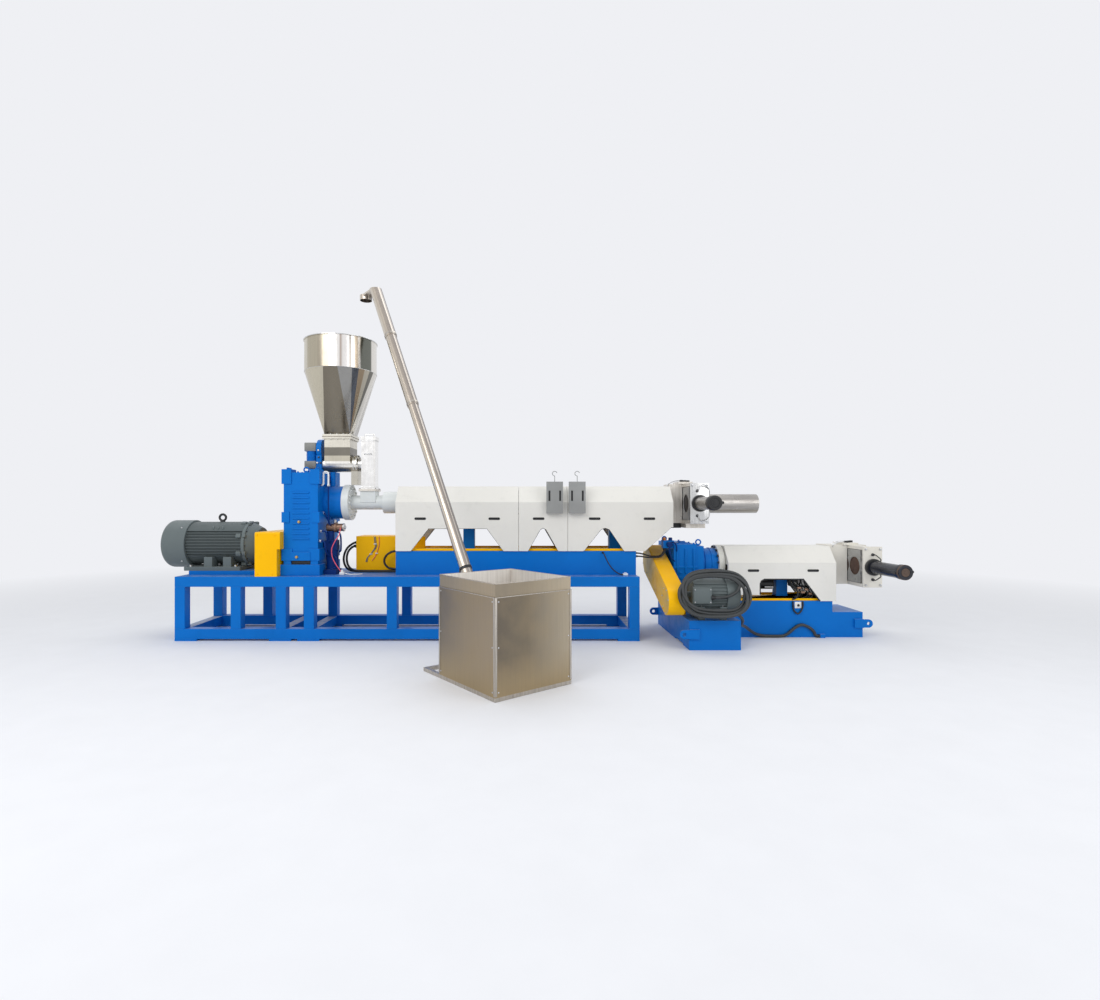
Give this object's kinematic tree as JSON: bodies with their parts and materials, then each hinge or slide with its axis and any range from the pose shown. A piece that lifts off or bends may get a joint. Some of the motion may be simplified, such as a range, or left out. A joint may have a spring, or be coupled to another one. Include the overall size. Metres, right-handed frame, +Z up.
{
  "type": "two-stage plastic extruder",
  "caption": "Two-stage plastic extruder line: long blue frame with motor, tall gearbox, hopper and covered barrel, a lower second stage, screen changers and a screw loader.",
  "frame": {"origin": "on the floor, in the middle of the long frame's footprint", "axes": "+X along the line, the way the melt runs; +Y from the operator's side to the back; +Z up"},
  "size_m": [8.768, 3.305, 4.36],
  "materials": {
    "blue_paint": "gloss blue paint",
    "motor_grey": "satin grey-green paint",
    "yellow_paint": "gloss signal yellow paint",
    "white_paint": "semi-gloss off-white paint",
    "grey_paint": "satin grey paint",
    "bare_steel": "machined steel",
    "stainless": "polished stainless sheet",
    "bronze": "dull bronze",
    "black_parts": "black paint",
    "black_rubber": "matt black rubber"
  },
  "bodies": {
    "line": {"frame_rails": "blue_paint", "frame_legs": "blue_paint", "frame_cross_rails": "blue_paint", "frame_feet": "blue_paint", "frame_deck": "blue_paint", "motor_pad": "blue_paint", "gearbox_pedestal": "blue_paint", "gearbox_case": "blue_paint", "bell_housing": "blue_paint", "lube_unit": "blue_paint", "barrel_posts": "blue_paint", "bench": "blue_paint", "feeder_drive": "blue_paint", "base_2_platform": "blue_paint", "base_2_box": "blue_paint", "gearbox_2": "blue_paint", "motor_plate": "motor_grey", "motor_body": "motor_grey", "motor_cowl": "motor_grey", "motor_end_shield": "motor_grey", "motor_2": "motor_grey", "coupling_guard": "yellow_paint", "drip_tray": "yellow_paint", "deck_box": "yellow_paint", "belt_guard_2": "yellow_paint", "drip_tray_2": "yellow_paint", "cover_1": "white_paint", "cover_2": "white_paint", "cover_3": "white_paint", "cover_4": "white_paint", "changer_body_1": "white_paint", "changer_body_2": "white_paint", "changer_cylinder_1": "white_paint", "changer_cylinder_2": "white_paint", "hanging_boxes": "grey_paint", "feed_barrel": "bare_steel", "feed_barrel_2": "bare_steel", "heated_barrel": "bare_steel", "hopper_drum": "stainless", "hopper_cone": "stainless", "feeder_trough": "stainless", "feed_column": "stainless", "discharge_tube": "stainless", "loader_base": "stainless", "loader_bin": "stainless", "loader_tube": "stainless", "loader_spout": "stainless", "lube_pump": "bronze", "barrel_blowers": "black_parts", "motor_2_lead": "black_rubber", "motor_2_coil": "black_rubber", "motor_2_cable": "black_rubber", "deck_cable_1": "black_rubber", "deck_cable_2": "black_rubber", "deck_cable_3": "black_rubber", "bench_cable": "black_rubber", "link_cable_1": "black_rubber", "link_cable_2": "black_rubber"},
    "slide_1": {"changer_slide_1": "bare_steel"},
    "slide_2": {"changer_slide_2": "bare_steel"}
  },
  "joints": [
    {"name": "screen_slide_1", "type": "slide", "parent": "line", "child": "slide_1", "axis": [0, 1, 0], "range_m": [0, 0.235]},
    {"name": "screen_slide_2", "type": "slide", "parent": "line", "child": "slide_2", "axis": [0, 1, 0], "range_m": [0, 0.235]}
  ]
}
